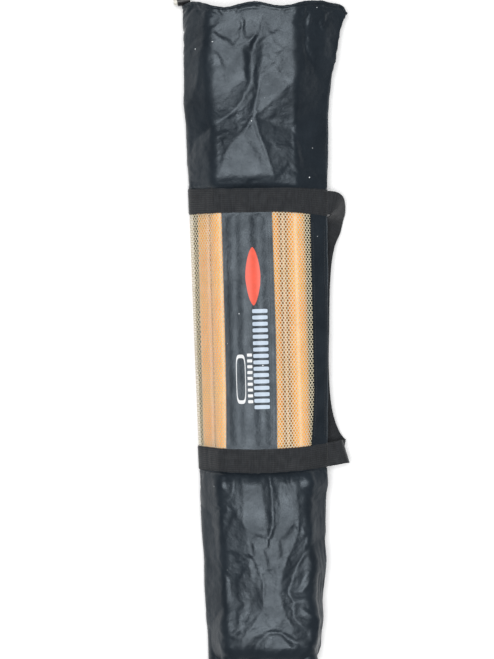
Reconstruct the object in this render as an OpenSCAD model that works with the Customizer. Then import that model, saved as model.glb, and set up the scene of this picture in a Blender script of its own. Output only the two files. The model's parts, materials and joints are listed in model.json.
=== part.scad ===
// Training pole bag: a black coated-fabric tube with two mesh windows, two webbing
// bands, a carry strap and a drawcord mouth, holding eight spiked plastic poles.
// It lies on its back on the floor. X runs across it, +Y runs along it to the mouth,
// and Z is up. The origin is on the underside, midway along the window section.

/* [Poles] */
// Outside diameter of a pole tube
pole_d = 32; // [28:1:32]
// Wall thickness of a pole tube
pole_wall = 1.6; // [1.2:0.1:2.4]
// Length of a pole tube
tube_l = 718; // [600:1:718]
// Length of a pole spike outside its socket
spike_l = 104; // [60:1:120]
// Diameter of a pole spike
spike_d = 8; // [6:0.5:10]
// Distance between neighbouring poles of a row
pole_pitch = 39.5; // [39:0.5:40]
// Height of the lower row's tubes above the floor
pole_lift = 5.5; // [5.5:0.5:6.5]

/* [Bag lengths] */
// Length of the mesh window section, between the two webbing bands
window_l = 374; // [340:2:380]
// Width of the webbing of the bands and the strap
webbing_w = 38; // [38:1:40]
// Length from the upper band to the mouth
upper_l = 293; // [280:1:320]
// Length from the lower band to the closed foot
lower_l = 304; // [304:1:330]
// Length over which the foot of the bag closes
foot_close_l = 34; // [30:1:36]

/* [Bag widths] */
// Left edge to centre line at the mouth
mouth_left = 110; // [106:1:114]
// Side seam to centre line at the mouth
mouth_right = 146; // [130:1:150]
// Left edge to centre line at the middle of the windows
window_left = 107; // [104:1:110]
// Side seam to centre line at the middle of the windows
window_right = 108; // [104:1:112]
// Side seam to centre line at the start of the foot
foot_right = 83; // [83:1:90]
// Width of the centre panel at the middle of the windows
centre_panel_w = 79; // [70:1:80]

/* [Fabric] */
// Thickness of the coated fabric and of the mesh
fabric_t = 0.8; // [0.6:0.1:0.8]
// Thickness of the webbing
webbing_t = 1.4; // [1.2:0.1:1.4]
// Diameter of the drawcord
cord_d = 3; // [2.5:0.1:3]

/* [Hidden] */
ROWS = 4;
POLES = [for (i = [1 : 2 * ROWS]) i];
function pole_node(i, piece) = str("pole_", i, "_", piece);

black_fabric = [0.17, 0.19, 0.22];
black_webbing = [0.12, 0.13, 0.14];
cream_mesh = [0.86, 0.82, 0.70];
pole_orange = [0.98, 0.62, 0.28];
black_plastic = [0.10, 0.10, 0.11];
pale_plastic = [0.82, 0.80, 0.74];
steel = [0.70, 0.71, 0.73];

fit_gap = 0.2;
pole_r = pole_d / 2;
tube_bore_r = pole_r - pole_wall;
// outline radius over a pole: a running gap, the fabric, a gap and the webbing
running_gap = 0.5;
skin_r = pole_r + running_gap + fabric_t + fit_gap + webbing_t;
nose_r = 4.5;
mid_sheet = fabric_t / 2;

// pole rows: the front row sits in the hollows of the back row, half a pitch to the right
back_z = pole_lift + pole_r;
front_z = back_z + sqrt(pow(pole_d + 0.4, 2) - pow(pole_pitch / 2, 2));
function front_x(k) = (k - (ROWS - 1) / 2) * pole_pitch;
function back_x(k) = front_x(k) - pole_pitch / 2;
function pole_centre(i) =
    i <= ROWS ? [front_x(i - 1), front_z] : [back_x(i - 1 - ROWS), back_z];

// stations along the bag
band_c = window_l / 2 + webbing_w / 2;
band_out = window_l / 2 + webbing_w;
mouth_y = band_out + upper_l;
foot_y = -band_out - lower_l;
close_y = foot_y + foot_close_l;
shoulder_l = 150;
shoulder_y = band_out + shoulder_l;
pole_foot_gap = 12;
tube_y0 = close_y + pole_foot_gap;
tube_y1 = tube_y0 + tube_l;

// ---- outline of the bag: a belt round five circles, in the XZ plane ----
function left_edge(y) = lookup(y, [
    [close_y, -(back_x(0) - skin_r)],
    [-band_c, window_left - 3],
    [0, window_left],
    [shoulder_y, mouth_left + 1],
    [mouth_y, mouth_left]
]);
function right_edge(y) = lookup(y, [
    [close_y, foot_right],
    [-band_c, window_right - 7],
    [0, window_right],
    [band_c, window_right + 3],
    [shoulder_y, lerp(window_right, mouth_right, 0.25)],
    [mouth_y, mouth_right]
]);
function seam_z(y) = lookup(y, [
    [close_y, 34], [-band_c, 40], [band_c, 40], [shoulder_y, 32], [mouth_y, 22]
]);
// the mouth stands off the floor and opens a little, to make room for its hem
mouth_spread = 1.5;
mouth_lift = 2.2;
function mouth_share(y) = max(0, (y - shoulder_y) / (mouth_y - shoulder_y));
function belt_r(y) = skin_r + mouth_spread * mouth_share(y);
function belt_floor(y) = mouth_lift * mouth_share(y);
function belt_circles(y) = [
    [right_edge(y) - nose_r, seam_z(y), nose_r],
    [front_x(ROWS - 1), front_z, belt_r(y)],
    [front_x(0), front_z, belt_r(y)],
    [belt_r(y) - left_edge(y), belt_r(y) + belt_floor(y), belt_r(y)],
    [back_x(ROWS - 1), belt_r(y) + belt_floor(y), belt_r(y)]
];

function lerp(a, b, t) = a + (b - a) * t;
function unit(v) = v / norm(v);
function positive(angle) = angle - 360 * floor(angle / 360);
// direction, seen from circle a, of the belt's tangent from circle a to circle b
function tangent_angle(a, b) =
    let (d = [b[0] - a[0], b[1] - a[1]])
    atan2(d[1], d[0]) - acos((a[2] - b[2]) / norm(d));
function arc_rows(c, from, to, steps) = [
    for (i = [0 : steps])
    let (angle = lerp(from, to, i / steps), n = [cos(angle), sin(angle)])
    [c[0] + c[2] * n[0], c[1] + c[2] * n[1], n[0], n[1]]
];
// how many rows each circle's arc and each straight between circles is cut into
ARC_CUTS = [4, 6, 6, 12, 4];
STRAIGHT_CUTS = [3, 8, 2, 8, 3];
function straight_rows(a, b, cuts) = [for (i = [1 : cuts - 1]) lerp(a, b, i / cuts)];
// rows of [x, z, normal x, normal z], from the side seam over the top and back under
function belt_rows(y) =
    let (
        c = belt_circles(y),
        turn = [for (i = [0 : 4]) tangent_angle(c[i], c[(i + 1) % 5])],
        from = [for (i = [0 : 4]) turn[(i + 4) % 5]],
        to = [for (i = [0 : 4]) from[i] + positive(turn[i] - from[i])],
        seam = (from[0] + to[0]) / 2,
        arcs = [
            arc_rows(c[0], seam, to[0], ARC_CUTS[0]),
            for (i = [1 : 4]) arc_rows(c[i], from[i], to[i], ARC_CUTS[i]),
            arc_rows(c[0], from[0], seam, ARC_CUTS[0])
        ]
    )
    concat(
        flat_list([for (i = [0 : 4])
            concat(arcs[i], straight_rows(arcs[i][len(arcs[i]) - 1], arcs[i + 1][0], STRAIGHT_CUTS[i]))]),
        arcs[5]
    );
// row where the left arc starts
LEFT_ROW = ARC_CUTS[0] + ARC_CUTS[1] + ARC_CUTS[2] + STRAIGHT_CUTS[0] + STRAIGHT_CUTS[1] + STRAIGHT_CUTS[2];
// rows at the left edge, and where the left arc has turned under, at the seam there
EDGE_ROW = LEFT_ROW + 4;
SEAM_ROW = LEFT_ROW + 8;
LAST_ROW = len(belt_rows(0)) - 1;
function row_gap(a, b) = norm([b[0] - a[0], b[1] - a[1]]);
function gap_after(rows, i) = i + 1 < len(rows) ? row_gap(rows[i], rows[i + 1]) : 0;
function running_length(rows) = [
    for (i = 0, s = 0; i < len(rows); s = s + gap_after(rows, i), i = i + 1) s
];
// lookup tables of the outline by arc length: [length, x, z, normal x, normal z]
function belt(y) =
    let (rows = belt_rows(y), s = running_length(rows))
    concat([s[len(s) - 1]], [for (k = [0 : 3]) [for (i = [0 : len(rows) - 1]) [s[i], rows[i][k]]]]);
// arc length where the upper side of the outline is at x
function length_at_x(b, x) =
    lookup(-x, [for (pair = b[1]) if (pair[0] < 0.45 * b[0]) [-pair[1], pair[0]]]);
// arc length of the seam under the left edge
function left_seam(b) = b[2][SEAM_ROW][0];
function normal_at(b, s) = [lookup(s, b[3]), lookup(s, b[4])];
function outline_at(b, s, inset) =
    [lookup(s, b[1]), lookup(s, b[2])] - inset * normal_at(b, s);

// the mouth's edge waves, and rounds off at both ends
mouth_wave = 4;
mouth_wave_l = 100;
mouth_corner_l = 20;
mouth_corner_dip = 4.5;
function mouth_edge(x) =
    let (u = min(mouth_corner_l, max(0, mouth_corner_l + max(x - mouth_right, -x - mouth_left))))
    mouth_y + mouth_wave * cos(360 * x / mouth_wave_l)
    - mouth_corner_dip * (1 - cos(90 * u / mouth_corner_l));
function wavy_y(y, x) =
    let (share = max(0, (y - band_out - 5) / (mouth_y - band_out - 5)))
    y + share * (mouth_edge(x) - mouth_y);
// the foot closes like a pillow, towards the line between the two pole rows
foot_centre = [(foot_right + back_x(0) - skin_r) / 2, (back_z + front_z) / 2];
foot_end_share = 0.7;
foot_end_gap = 0.4;
function foot_scale(y) =
    let (t = min(1, max(0, (close_y - y) / (foot_close_l + foot_end_gap))), round = sqrt(1 - t * t))
    [lerp(foot_end_share, 1, round), round];
function foot_point(p, y) =
    let (k = foot_scale(y), d = p - foot_centre)
    foot_centre + [k[0] * d[0], k[1] * d[1]];
function skin_point(b, y, s, inset) =
    let (p = foot_point(outline_at(b, s, inset), y))
    [p[0], wavy_y(y, p[0]), p[1]];

// ---- sheets and tubes built from rows of points ----
function quad(a, b, c, d) = [[a, b, c], [a, c, d]];
function flat_list(lists) = [for (l = lists) each l];
// a closed sheet between two grids of points; rows run along +Y, columns round the outline
module sheet(outer, inner, ring = false) {
    m = len(outer) - 1;
    cols = len(outer[0]);
    n = ring ? cols : cols - 1;
    o = function (i, j) i * cols + j % cols;
    u = function (i, j) (m + 1) * cols + i * cols + j % cols;
    skins = flat_list([for (i = [0 : m - 1], j = [0 : n - 1]) concat(
        quad(o(i, j), o(i, j + 1), o(i + 1, j + 1), o(i + 1, j)),
        quad(u(i, j), u(i + 1, j), u(i + 1, j + 1), u(i, j + 1))
    )]);
    ends = flat_list([for (j = [0 : n - 1]) concat(
        quad(o(0, j + 1), o(0, j), u(0, j), u(0, j + 1)),
        quad(o(m, j), o(m, j + 1), u(m, j + 1), u(m, j))
    )]);
    sides = ring ? [] : flat_list([for (i = [0 : m - 1]) concat(
        quad(o(i, 0), o(i + 1, 0), u(i + 1, 0), u(i, 0)),
        quad(o(i + 1, n), o(i, n), u(i, n), u(i + 1, n))
    )]);
    polyhedron(concat(flat_list(outer), flat_list(inner)), concat(skins, ends, sides), convexity = 6);
}
// a round wire along a path of [point, side direction]; loop joins its ends
module wire(path, r, loop, sides = 8) {
    n = len(path);
    tangent = function (i) unit(
        path[loop ? (i + 1) % n : min(n - 1, i + 1)][0] - path[loop ? (i + n - 1) % n : max(0, i - 1)][0]
    );
    rings = [for (i = [0 : n - 1])
        let (t = tangent(i), b = unit(cross(t, path[i][1])), a = cross(b, t))
        [for (k = [0 : sides - 1]) path[i][0] + r * (cos(360 * k / sides) * a + sin(360 * k / sides) * b)]];
    p = function (i, k) (i % n) * sides + k % sides;
    walls = flat_list([for (i = [0 : (loop ? n : n - 1) - 1], k = [0 : sides - 1])
        quad(p(i, k), p(i + 1, k), p(i + 1, k + 1), p(i, k + 1))]);
    caps = loop ? [] : [
        [for (k = [0 : sides - 1]) p(0, k)],
        [for (k = [sides - 1 : -1 : 0]) p(n - 1, k)]
    ];
    polyhedron(flat_list(rings), concat(walls, caps), convexity = 10);
}

// ---- fabric panels: each is the part of the skin between two edges ----
// stations are [y, inset]; an edge is a function of the station's outline and y
module panel(stations, from, to, columns) {
    grid = function (extra) [for (st = stations)
        let (b = belt(st[0]), s0 = from(b, st[0]), s1 = to(b, st[0]))
        [for (j = [0 : columns]) skin_point(b, st[0], lerp(s0, s1, j / columns), st[1] + extra)]];
    sheet(grid(0), grid(fabric_t));
}
// the same, between two rows of the outline
module row_panel(stations, first, last) {
    nudge = function (a, b) a + seam_gap * unit(b - a);
    grid = function (extra) [for (st = stations)
        let (
            rows = belt_rows(st[0]),
            inset = st[1] + extra,
            edge = [for (i = [first : last])
                foot_point([rows[i][0], rows[i][1]] - inset * [rows[i][2], rows[i][3]], st[0])],
            n = last - first
        )
        [for (i = [0 : n])
            let (
                p = i == 0 ? nudge(edge[0], edge[1]) : i == n ? nudge(edge[n], edge[n - 1]) : edge[i],
                r = rows[first + i]
            )
            [p[0], wavy_y(st[0], r[0] - mid_sheet * r[2]), p[1]]]];
    sheet(grid(0), grid(fabric_t));
}
tuck = webbing_t + fit_gap;
tuck_gap = 0.3;
tuck_l = 3;
plain_gap = 45;
function evenly(from, to, count) = [for (i = [0 : count]) lerp(from, to, i / count)];
// a section of the bag runs between two bands' edges, and tucks under each band
function tuck_above(edge) = [[edge + tuck_gap, tuck], [edge + tuck_l, 0]];
function tuck_below(edge) = [[edge - tuck_l, 0], [edge - tuck_gap, tuck]];
window_stations = concat(
    [[-band_c + 1, tuck]],
    tuck_above(-window_l / 2),
    [for (y = evenly(plain_gap - window_l / 2, window_l / 2 - plain_gap, 4)) [y, 0]],
    tuck_below(window_l / 2),
    [[band_c - 1, tuck]]
);
hem_depth = 5;
upper_stations = concat(
    [[band_c + 1, tuck]],
    tuck_above(band_out),
    [for (y = evenly(band_out + plain_gap, mouth_y - plain_gap, 3)) [y, 0]],
    [for (y = [mouth_y - mouth_corner_l, mouth_y - hem_depth]) [y, 0]]
);
lower_stations = concat(
    [for (a = [84 : -12 : 12]) [close_y - foot_close_l * sin(a), 0]],
    [for (y = evenly(close_y, -band_out - plain_gap, 4)) [y, 0]],
    tuck_below(-band_out),
    [[-band_c - 1, tuck]]
);

seam_gap = 0.15;
centre_panel_x = -16.5;
centre_right_lean = -3;
centre_left_x = function (y) centre_panel_x - centre_panel_w / 2;
centre_right_x = function (y) centre_panel_x + centre_panel_w / 2 + centre_right_lean * y / window_l;
mesh_right_x = 83;
at_side_seam = function (b, y) seam_gap;
at_side_seam_under = function (b, y) b[0] - seam_gap;
before_left_seam = function (b, y) left_seam(b) - seam_gap;
after_left_seam = function (b, y) left_seam(b) + seam_gap;
side_of = function (x_at, side) function (b, y) length_at_x(b, x_at(y)) + side * seam_gap;
mesh_edge_x = function (y) mesh_right_x;

module upper_front_panel() {
    color(black_fabric) row_panel(upper_stations, 0, SEAM_ROW);
}
module upper_back_panel() {
    color(black_fabric) row_panel(upper_stations, SEAM_ROW, LAST_ROW);
}
module lower_front_panel() {
    color(black_fabric) row_panel(lower_stations, 0, SEAM_ROW);
}
module lower_back_panel() {
    color(black_fabric) row_panel(lower_stations, SEAM_ROW, LAST_ROW);
}
module side_panel() {
    color(black_fabric) panel(window_stations, at_side_seam, side_of(mesh_edge_x, -1), 16);
}
module mesh_right() {
    color(cream_mesh) panel(window_stations, side_of(mesh_edge_x, 1), side_of(centre_right_x, -1), 14);
}
module centre_panel() {
    color(black_fabric) panel(window_stations, side_of(centre_right_x, 1), side_of(centre_left_x, -1), 12);
}
module mesh_left() {
    color(cream_mesh) panel(window_stations, side_of(centre_left_x, 1), before_left_seam, 26);
}
module back_panel() {
    color(black_fabric) panel(window_stations, after_left_seam, at_side_seam_under, 24);
}

// strip that binds the last of the foot shut, a folded tape just inside the panels' ends
module foot_binding() {
    binding_l = 9;
    share = [0.96, 0.5];
    points = 60;
    y = foot_y + foot_end_gap;
    b = belt(y);
    inner = [for (s = evenly(0, b[0], points))
        let (d = foot_point(outline_at(b, s, 0), y) - foot_centre)
        foot_centre + [share[0] * d[0], share[1] * d[1]]];
    color(black_webbing)
        translate([0, y, 0]) rotate([90, 0, 0]) mirror([0, 0, 1])
            linear_extrude(binding_l) polygon(inner);
}

// ---- webbing ----
half_w = webbing_w / 2;
module webbing_band(y_mid) {
    grid = function (inset) [for (y = [y_mid - half_w, y_mid, y_mid + half_w])
        let (rows = belt_rows(y))
        [for (j = [0 : len(rows) - 2])
            [rows[j][0] - inset * rows[j][2], y, rows[j][1] - inset * rows[j][3]]]];
    color(black_webbing) sheet(grid(0), grid(webbing_t), ring = true);
}
module webbing_band_upper() webbing_band(band_c);
module webbing_band_lower() webbing_band(-band_c);

// carry strap: a ribbon sewn along the side seam at both bands. Each control row is
// [[out from the seam, along the bag, up from the seam], direction of the ribbon's width]
strap_gap = 1;
strap_cuts = 4;
function seam_at(y) = [right_edge(y) + strap_gap + webbing_t / 2, y, seam_z(y)];
strap_rows = [
    [[0, band_c, 0], [0, 1, 0]],
    [[7, band_c - 0.5, -1], [0.1, 1, 0]],
    [[14, band_c - 5, -7], [0.45, 0.85, -0.2]],
    [[14, band_c - 18, -16], [0.75, 0.4, -0.55]],
    [[4, band_c - 37, -21], [0.95, 0, -0.3]],
    [[-8, band_c - 64, -21], [0.97, 0, 0.2]],
    [[-15, 85, -16], [0.88, 0, 0.46]],
    [[-17.5, 0, -15], [0.86, 0, 0.5]],
    [[-16.5, -85, -15.5], [0.86, 0, 0.48]],
    [[-11, 66 - band_c, -19], [0.92, 0, 0.35]],
    [[-1, 32 - band_c, -25], [0.97, 0.2, 0.05]],
    [[12, 12 - band_c, -27], [0.6, 0.8, -0.05]],
    [[24, 4 - band_c, -20], [-0.1, 1, 0]],
    [[27, 4 - band_c, -9], [-0.28, 0.96, 0]],
    [[22, 4 - band_c, -1.2], [-0.25, 0.96, 0]],
    [[11, 2 - band_c, 0], [-0.1, 1, 0]],
    [[0, 0 - band_c, 0], [0, 1, 0]]
];
function spline(a, b, c, d, t) =
    0.5 * (2 * b + (c - a) * t + (2 * a - 5 * b + 4 * c - d) * t * t + (3 * b - a - 3 * c + d) * t * t * t);
function spline_rows(rows, k, steps) = [
    for (i = [0 : len(rows) - 2], q = [0 : steps - (i == len(rows) - 2 ? 0 : 1)])
    spline(rows[max(0, i - 1)][k], rows[i][k], rows[i + 1][k], rows[min(len(rows) - 1, i + 2)][k], q / steps)
];
module carry_strap() {
    offset = spline_rows(strap_rows, 0, strap_cuts);
    across = spline_rows(strap_rows, 1, strap_cuts);
    centre = [for (p = offset) let (s = seam_at(p[1])) [s[0] + p[0], p[1], s[2] + p[2]]];
    n = len(centre) - 1;
    face = function (side) [for (i = [0 : n])
        let (
            along = i == 0 ? [1, 0, 0] : i == n ? [-1, 0, 0] : unit(centre[i + 1] - centre[i - 1]),
            w = unit(across[i] - (across[i] * along) * along),
            up = cross(along, w)
        )
        [for (j = [-1 : 0.5 : 1]) centre[i] + j * half_w * w + side * webbing_t / 2 * up]];
    color(black_webbing) sheet(face(1), face(-1));
}

// ---- mouth hem and drawcord ----
cord_r = cord_d / 2;
hem_t = 0.6;
channel_gap = 0.4;
bulb_r = cord_r + channel_gap + hem_t / 2;
leg_u = mid_sheet + fit_gap + hem_t / 2;
// the hem's folded shape as [across the fabric, along Y, and its own normal]
hem_rows = concat(
    [[leg_u, -12, 1, 0], [leg_u, -bulb_r - 2.2, 1, 0]],
    [for (a = [-55 : 41.4 : 235.5]) [bulb_r * cos(a), bulb_r * (sin(a) - 1), cos(a), sin(a)]],
    [[-leg_u, -bulb_r - 2.2, -1, 0], [-leg_u, -12, -1, 0]]
);
// the hem and its channel run round the mouth from one side of the cord's exit to the other
exit_rows = 2;
HEM_ROWS = [for (i = [EDGE_ROW + exit_rows : EDGE_ROW + LAST_ROW - exit_rows]) i % LAST_ROW];
// point on the fabric's middle and its normal, v along Y from the mouth's edge
function mouth_frame(row, v) =
    let (r = belt_rows(mouth_y + v)[row], x = r[0] - mid_sheet * r[2])
    [[x, wavy_y(mouth_y + v, x), r[1] - mid_sheet * r[3]], [r[2], 0, r[3]]];
module mouth_hem() {
    face = function (side) [for (row = hem_rows)
        let (
            v = row[1] + side * hem_t / 2 * row[3],
            u = row[0] + side * hem_t / 2 * row[2],
            rows = belt_rows(mouth_y + v)
        )
        [for (i = HEM_ROWS)
            let (r = rows[i], out = u - mid_sheet)
            [r[0] + out * r[2], wavy_y(mouth_y + v, r[0] - mid_sheet * r[2]), r[1] + out * r[3]]]];
    color(black_fabric) sheet(face(1), face(-1));
}

// the two cord runs leave the hem's gap side by side, one above the other
exit_turn = 10;
exit_dip = -7;
tail_l = 100;
stack = cord_r + 0.15;
exit_point = mouth_frame(EDGE_ROW, -bulb_r)[0];
tail_dir = [-sin(exit_turn) * cos(exit_dip), cos(exit_turn) * cos(exit_dip), sin(exit_dip)];
tail_side = [-cos(exit_turn), -sin(exit_turn), 0];
tail_up = cross(tail_side, tail_dir);
function tail_point(along, up) = exit_point + along * tail_dir + up * tail_up;
function bend(a, b, c, d, t) =
    pow(1 - t, 3) * a + 3 * pow(1 - t, 2) * t * b + 3 * (1 - t) * t * t * c + t * t * t * d;
// side +1 is the run above, -1 the run below; it goes from the hem out to the tail
function exit_bend(side) =
    let (
        start = mouth_frame(EDGE_ROW - side * exit_rows, -bulb_r)[0],
        inward = unit(exit_point - start),
        end = tail_point(9, side * stack)
    )
    [for (t = [0.12 : 0.11 : 1])
        [bend(start, start + 4 * inward, end - 5 * tail_dir, end, t), unit(lerp([-1, 0, 0], tail_side, t))]];
function reversed(list) = [for (i = [len(list) - 1 : -1 : 0]) list[i]];
module drawcord() {
    channel = [for (i = HEM_ROWS) mouth_frame(i, -bulb_r)];
    out = [for (a = evenly(20, tail_l, 8)) [tail_point(a, stack), tail_side]];
    turn = [for (a = [22.5 : 22.5 : 157.5])
        [tail_point(tail_l + stack * sin(a), stack * cos(a)), tail_side]];
    back = [for (a = evenly(tail_l, 20, 8)) [tail_point(a, -stack), tail_side]];
    color(black_webbing)
        wire(concat(channel, exit_bend(1), out, turn, back, reversed(exit_bend(-1))), cord_r, loop = true);
}

// ---- cord lock: its local Y runs along the cord, and its button presses along +X ----
lock_at = 12;
lock_travel = 4;
lock_hole_h = 2 * (stack + cord_r) + 0.4;
lock_hole_w = 2 * cord_r + 0.2 + lock_travel + 0.1;
plunger_d = 10;
barrel_d = 15;
rim_x = -7;
plunger_in_x = cord_r + 0.1 + 3;
spring_room = 7.4;
barrel_floor_x = plunger_in_x + spring_room;
module at_lock(along) {
    translate(tail_point(along, 0)) rotate([exit_dip, 0, exit_turn]) children();
}
module along_x(x) translate([x, 0, 0]) rotate([0, 90, 0]) children();
module lock_hole(x0) {
    translate([x0, -barrel_d, -lock_hole_h / 2]) cube([lock_hole_w, 2 * barrel_d, lock_hole_h]);
}
module lock_barrel() {
    shell = barrel_floor_x + 1.6 - rim_x;
    color(black_plastic) at_lock(lock_at) difference() {
        union() {
            along_x(rim_x) cylinder(h = shell - 1.5, d = barrel_d, $fn = 64);
            along_x(rim_x + shell - 1.5) cylinder(h = 1.5, d1 = barrel_d, d2 = barrel_d - 3, $fn = 64);
        }
        along_x(rim_x - 1) cylinder(h = barrel_floor_x - rim_x + 1, d = plunger_d + 0.2, $fn = 64);
        lock_hole(-cord_r - 0.1);
    }
}
module lock_plunger() {
    head = 5.5;
    color(pale_plastic) at_lock(lock_at) difference() {
        union() {
            along_x(rim_x - head + 1) cylinder(h = plunger_in_x - rim_x + head - 1, d = plunger_d, $fn = 64);
            along_x(rim_x - head) cylinder(h = 1, d1 = plunger_d - 2, d2 = plunger_d, $fn = 64);
        }
        lock_hole(cord_r + 0.1 - lock_hole_w);
    }
}
module lock_spring() {
    wire_r = 0.4;
    coil_r = 3.6;
    turns = 4.5;
    steps = 54;
    x0 = plunger_in_x + 0.1 + wire_r;
    pitch_l = spring_room - 0.2 - 2 * wire_r;
    path = [for (i = [0 : steps])
        let (a = 360 * turns * i / steps, out = [0, cos(a), sin(a)])
        [[x0 + pitch_l * i / steps, 0, 0] + coil_r * out, out]];
    color(steel) at_lock(lock_at) wire(path, wire_r, loop = false, sides = 6);
}
module cord_end() {
    depth = 8;
    body_l = 14;
    color(black_plastic) at_lock(tail_l - depth) difference() {
        rotate([-90, 0, 0]) union() {
            cylinder(h = body_l - 3, d1 = 9.6, d2 = 12, $fn = 64);
            translate([0, 0, body_l - 3]) cylinder(h = 3, d1 = 12, d2 = 8, $fn = 64);
        }
        translate([-cord_r - 0.2, -1, -lock_hole_h / 2])
            cube([2 * cord_r + 0.4, depth + stack + cord_r + 1.4, lock_hole_h]);
    }
}

// ---- poles: local Z is the pole's axis, and +Z points at the mouth ----
cap_head = 6;
cap_plug = 22;
socket_collar = 9;
socket_plug = 30;
spike_hold = 26;
plug_r = tube_bore_r - 0.05;
plug_gap = 0.1;
spike_r = spike_d / 2;
shank_r = spike_r - 0.3;
module on_pole(i) {
    c = pole_centre(i);
    translate([c[0], tube_y0, c[1]]) rotate([-90, 0, 0]) children();
}
module pole_tube(i) {
    color(pole_orange) on_pole(i) difference() {
        cylinder(h = tube_l, r = pole_r, $fn = 96);
        translate([0, 0, -1]) cylinder(h = tube_l + 2, r = tube_bore_r, $fn = 96);
    }
}
// domed cap with a hollow ribbed plug
module pole_end_cap(i) {
    rim = pole_r - 2.5;
    color(black_plastic) on_pole(i) translate([0, 0, -plug_gap]) rotate_extrude($fn = 96) polygon(concat(
        [[0, -cap_head], [rim - 4, -cap_head]],
        [for (a = [75 : -15 : 15]) [rim - 4 + 6.5 * cos(a), -cap_head + 6.5 * (1 - sin(a)) * 0.6]],
        [[pole_r, -2.2], [pole_r, 0], [plug_r, 0]],
        [for (k = [0 : 3]) each [[plug_r, 3 + 5 * k], [plug_r - 0.6, 3.8 + 5 * k], [plug_r, 5 + 5 * k]]],
        [[plug_r - 1.5, cap_plug], [plug_r - 3.5, cap_plug], [plug_r - 3.5, 0], [0, 0]]
    ));
}
// plug with a collar that holds the spike in a blind hole
module pole_spike_socket(i) {
    nose_top = spike_r + 5;
    color(black_plastic) on_pole(i) translate([0, 0, tube_l + plug_gap]) rotate_extrude($fn = 96) polygon([
        [0, -socket_plug], [plug_r - 1.5, -socket_plug], [plug_r, -socket_plug + 2], [plug_r, 0],
        [pole_r, 0], [pole_r, 2.5], [pole_r - 1.5, 4], [nose_top, socket_collar],
        [shank_r + 0.05, socket_collar], [shank_r + 0.05, socket_collar - spike_hold - 0.2],
        [0, socket_collar - spike_hold - 0.2]
    ]);
}
// the spike's thinner shank sits in the socket, and its shoulder stands just clear of the collar
module pole_spike(i) {
    point_l = 15;
    shoulder = spike_hold + 0.5;
    whole_l = spike_hold + spike_l;
    color(steel) on_pole(i) translate([0, 0, tube_l + plug_gap + socket_collar - spike_hold])
        rotate_extrude($fn = 64) polygon([
            [0, 0], [shank_r - 0.5, 0], [shank_r, 0.5], [shank_r, shoulder], [spike_r, shoulder],
            [spike_r, whole_l - point_l], [0.6, whole_l - 0.4], [0, whole_l]
        ]);
}

upper_front_panel();
upper_back_panel();
lower_front_panel();
lower_back_panel();
centre_panel();
side_panel();
back_panel();
mesh_left();
mesh_right();
foot_binding();
mouth_hem();
webbing_band_upper();
webbing_band_lower();
carry_strap();
drawcord();
lock_barrel();
lock_plunger();
lock_spring();
cord_end();
for (i = POLES) {
    pole_tube(i);
    pole_end_cap(i);
    pole_spike_socket(i);
    pole_spike(i);
}
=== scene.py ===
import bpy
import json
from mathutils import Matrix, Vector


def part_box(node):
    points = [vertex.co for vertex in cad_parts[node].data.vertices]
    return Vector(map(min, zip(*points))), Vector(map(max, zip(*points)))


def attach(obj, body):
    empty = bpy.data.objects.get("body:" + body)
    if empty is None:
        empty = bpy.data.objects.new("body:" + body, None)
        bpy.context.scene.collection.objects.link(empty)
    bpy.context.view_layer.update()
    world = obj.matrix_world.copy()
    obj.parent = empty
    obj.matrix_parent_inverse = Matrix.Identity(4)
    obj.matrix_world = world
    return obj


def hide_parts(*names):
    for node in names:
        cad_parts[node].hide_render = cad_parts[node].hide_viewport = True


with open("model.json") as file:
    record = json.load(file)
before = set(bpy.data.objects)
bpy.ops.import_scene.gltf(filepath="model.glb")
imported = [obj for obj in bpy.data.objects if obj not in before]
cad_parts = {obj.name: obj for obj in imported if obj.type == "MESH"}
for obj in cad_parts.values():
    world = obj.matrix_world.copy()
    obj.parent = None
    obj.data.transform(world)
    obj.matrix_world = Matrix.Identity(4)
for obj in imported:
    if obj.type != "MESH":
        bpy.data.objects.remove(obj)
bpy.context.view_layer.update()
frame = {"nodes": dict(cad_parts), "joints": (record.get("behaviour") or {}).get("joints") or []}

import json
import math

import bpy
import numpy as np
from mathutils import Vector
from mathutils.bvhtree import BVHTree

# Lengths are in metres, in the CAD frame: +Y runs to the mouth, +Z is up and the side seam is at
# +X. Places on the cloth are given as y along the bag and a share, 0 to 1, of the way round it: the
# share starts at the side seam and runs over the top and back underneath.
MM = 0.001
TAU = 2 * math.pi
CLOTH_T = 0.7 * MM
WEBBING_T = 1.3 * MM
NET_T = 0.5 * MM

NODES = frame["nodes"]


def mid(node, axis):
    low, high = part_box(node)
    return (low[axis] + high[axis]) / 2


WEBBING_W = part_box("webbing_band_upper")[1].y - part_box("webbing_band_upper")[0].y
LOWER_BAND_Y, UPPER_BAND_Y = mid("webbing_band_lower", 1), mid("webbing_band_upper", 1)
FOOT_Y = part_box("lower_front_panel")[0].y
MOUTH_WAVE = 4 * MM
MOUTH_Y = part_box("mouth_hem")[1].y - MOUTH_WAVE
POLES = range(1, 9)
POLE_R = (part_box("pole_1_tube")[1].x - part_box("pole_1_tube")[0].x) / 2
POLE_AXES = [(mid(f"pole_{n}_tube", 0), mid(f"pole_{n}_tube", 2)) for n in POLES]
FRONT_ROW_X = [x for x, z in POLE_AXES if z > 35 * MM]


# ---- numbers
def smooth(t):
    t = np.clip(t, 0, 1)
    return t * t * (3 - 2 * t)


def unit(vectors):
    return vectors / np.linalg.norm(vectors, axis=-1, keepdims=True)


def distances(path):
    """How far along a path each of its points is."""
    return np.append(0, np.cumsum(np.linalg.norm(np.diff(path, axis=0), axis=1)))


def hashed(ix, iy, seed):
    """Repeatable value from 0 to 1 for each pair of whole numbers."""
    n = (ix * 374761393 + iy * 668265263 + seed * 1442695041) & 0xFFFFFFFF
    n = ((n ^ (n >> 13)) * 1274126177) & 0xFFFFFFFF
    return ((n ^ (n >> 16)) & 0xFFFF) / 65535.0


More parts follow.
